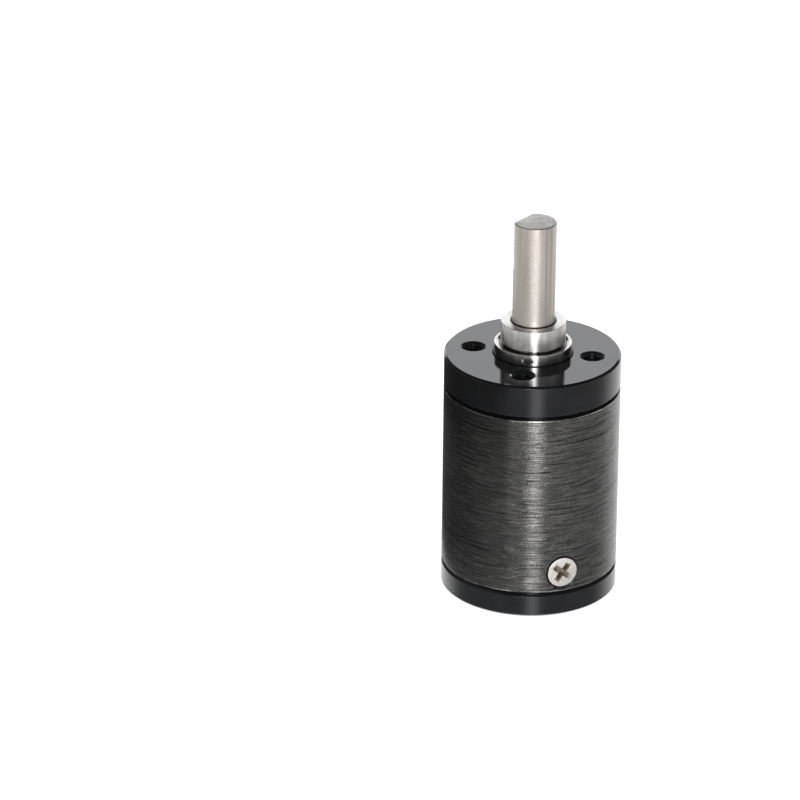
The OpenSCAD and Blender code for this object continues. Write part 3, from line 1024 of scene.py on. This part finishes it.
AZIMUTH = math.radians(8.94)
ELEVATION = math.radians(26.18)
ROLL = math.radians(0.58)
DISTANCE = 0.801
FOCAL_LENGTH = 250.8      # millimetres, on a sensor 36 mm wide
SENSOR_WIDTH = 36
AIM_LEFT = 18.66 * MM     # the camera looks past the part's axis on its left, at this height
AIM_Z = 27.62 * MM

UP = Vector((0, 0, 1))
to_camera = Vector((math.sin(AZIMUTH), -math.cos(AZIMUTH), 0))
to_right = Vector((math.cos(AZIMUTH), math.sin(AZIMUTH), 0))


def place_object(name, data):
    made = bpy.data.objects.new(name, data)
    bpy.context.scene.collection.objects.link(made)
    made.rotation_mode = "QUATERNION"
    return made


def make_camera():
    data = bpy.data.cameras.new("camera")
    data.lens = FOCAL_LENGTH
    data.sensor_width = SENSOR_WIDTH
    data.clip_start = 0.01
    camera = place_object("camera", data)
    camera.location = DISTANCE * (math.cos(ELEVATION) * to_camera + math.sin(ELEVATION) * UP)
    aim = AIM_Z * UP - AIM_LEFT * to_right
    look = (aim - camera.location).to_track_quat("-Z", "Y")
    camera.rotation_quaternion = look @ Quaternion((0, 0, 1), ROLL)
    bpy.context.scene.camera = camera


# ---- Studio ----

FLOOR_FRONT = 0.25        # light from below the horizon, on the camera's side and behind the part
FLOOR_BEHIND = 1.2
WALL_FRONT = 0.09         # light from above the horizon
WALL_BEHIND = 1.5
CEILING = 0.06
NADIR = 0.8               # more light from straight below
BAND = 1.8                # light close to the horizon, on the camera's side
BAND_WIDTH = 0.18
STRIP_AZIMUTH = math.radians(6.5)    # an upright strip of light, right of the camera
STRIP_WIDTH = math.radians(6.5)
STRIP_BELOW = 1.25        # its light below the horizon and above it
STRIP_ABOVE = 15.0
CARD = 0.11               # light of the dark card beside the body


def studio_world():
    """Soft light from a few directions. The camera itself sees plain white."""
    world = bpy.data.worlds.new("studio")
    bpy.context.scene.world = world
    world.use_nodes = True
    s = Nodes(world.node_tree)
    direction = s.add("ShaderNodeTexCoord").outputs["Generated"]

    def along(axis):
        inputs = {0: direction, 1: axis}
        return s.add("ShaderNodeVectorMath", inputs, operation="DOT_PRODUCT").outputs["Value"]

    front, side, up = along(to_camera), along(to_right), along(UP)
    table = s.spread(s.spread(front, 0.1, -0.9), 0.0, 1.0, FLOOR_FRONT, FLOOR_BEHIND)
    walls = s.spread(front, -0.78, -0.86, WALL_FRONT, WALL_BEHIND)
    level = s.between(s.spread(up, -0.12, 0.12), table, walls)
    level = s.between(s.spread(up, 0.62, 0.8), level, CEILING)
    band = s.times(s.bell(s.math("DIVIDE", up, BAND_WIDTH)), s.spread(front, -0.5, 0.0))
    azimuth = s.math("ARCTAN2", side, front)
    off = s.math("DIVIDE", s.math("SUBTRACT", azimuth, STRIP_AZIMUTH), STRIP_WIDTH)
    strip = s.times(s.bell(off), s.spread(up, 0.62, 0.48))
    strip = s.times(strip, s.spread(up, -0.3, 0.05, STRIP_BELOW, STRIP_ABOVE))
    level = s.total(level, (band, BAND), s.spread(up, -0.6, -0.8, 0.0, NADIR), strip)
    seen = s.add("ShaderNodeLightPath").outputs["Is Camera Ray"]
    background = s.add("ShaderNodeBackground", {"Color": WHITE, "Strength": s.between(seen, level, 1.0)})
    s.add("ShaderNodeOutputWorld", {"Surface": background.outputs[0]})


def floor():
    """A wide pale floor. It can't be seen from below, and mirrors don't see it."""
    radius = 4.0
    drop = 0.02 * MM
    glow = 0.75
    bm = bmesh.new()
    bm.faces.new(circle(bm, radius, -drop, 96))
    made = make_object(bm, "floor")
    if made.data.polygons[0].normal.z < 0:
        made.data.flip_normals()
    s = Shader("floor")
    paint = s.add("ShaderNodeBsdfPrincipled", {
        "Base Color": s.mix(s.noise(s.cells(40 * MM), 2), grey(0.6), grey(0.64)),
        "Roughness": 0.9,
        "Emission Color": WHITE,
        "Emission Strength": glow,
    })
    clear = s.add("ShaderNodeBsdfTransparent")
    back = s.add("ShaderNodeNewGeometry").outputs["Backfacing"]
    both = s.add("ShaderNodeMixShader", {0: back, 1: paint.outputs[0], 2: clear.outputs[0]})
    s.add("ShaderNodeOutputMaterial", {"Surface": both.outputs[0]})
    made.data.materials.append(s.material)
    made.visible_glossy = False


def dark_card():
    """A card on the left that only mirrors see: dark beside the body, and bright far behind it."""
    near, far, top = -40 * MM, 120 * MM, 34 * MM
    left = -17 * MM
    bm = bmesh.new()
    corners = [(left, near, 0), (left, far, 0), (left, far, top), (left, near, top)]
    bm.faces.new([bm.verts.new(corner) for corner in corners])
    made = make_object(bm, "dark_card")
    made.matrix_world = Matrix.Rotation(AZIMUTH, 4, "Z")
    s = Shader("dark_card")
    glow = s.spread(s.y, -24 * MM, 0, FLOOR_FRONT, CARD)
    glow = s.math("MAXIMUM", glow, s.spread(s.y, 30 * MM, far, 0.0, FLOOR_BEHIND))
    glow = s.times(glow, s.spread(s.z, 19 * MM, 27 * MM, 1.0, 0.4))
    light = s.add("ShaderNodeEmission", {"Color": WHITE, "Strength": glow})
    s.add("ShaderNodeOutputMaterial", {"Surface": light.outputs[0]})
    made.data.materials.append(s.material)
    made.visible_camera = False
    made.visible_diffuse = False
    made.visible_shadow = False


def overhead_light():
    """A large soft lamp above the part, which mirrors don't see."""
    direction = Vector((0.1, -0.2, 1))
    distance = 0.6
    data = bpy.data.lights.new("overhead", "AREA")
    data.shape = "DISK"
    data.size = 0.7
    data.energy = 3.0
    lamp = place_object("overhead", data)
    lamp.location = direction.normalized() * distance + 30 * MM * UP
    lamp.rotation_quaternion = direction.to_track_quat("Z", "Y")
    lamp.visible_glossy = False
    lamp.visible_camera = False


make_camera()
studio_world()
floor()
dark_card()
overhead_light()
bpy.context.scene.view_settings.view_transform = "Standard"
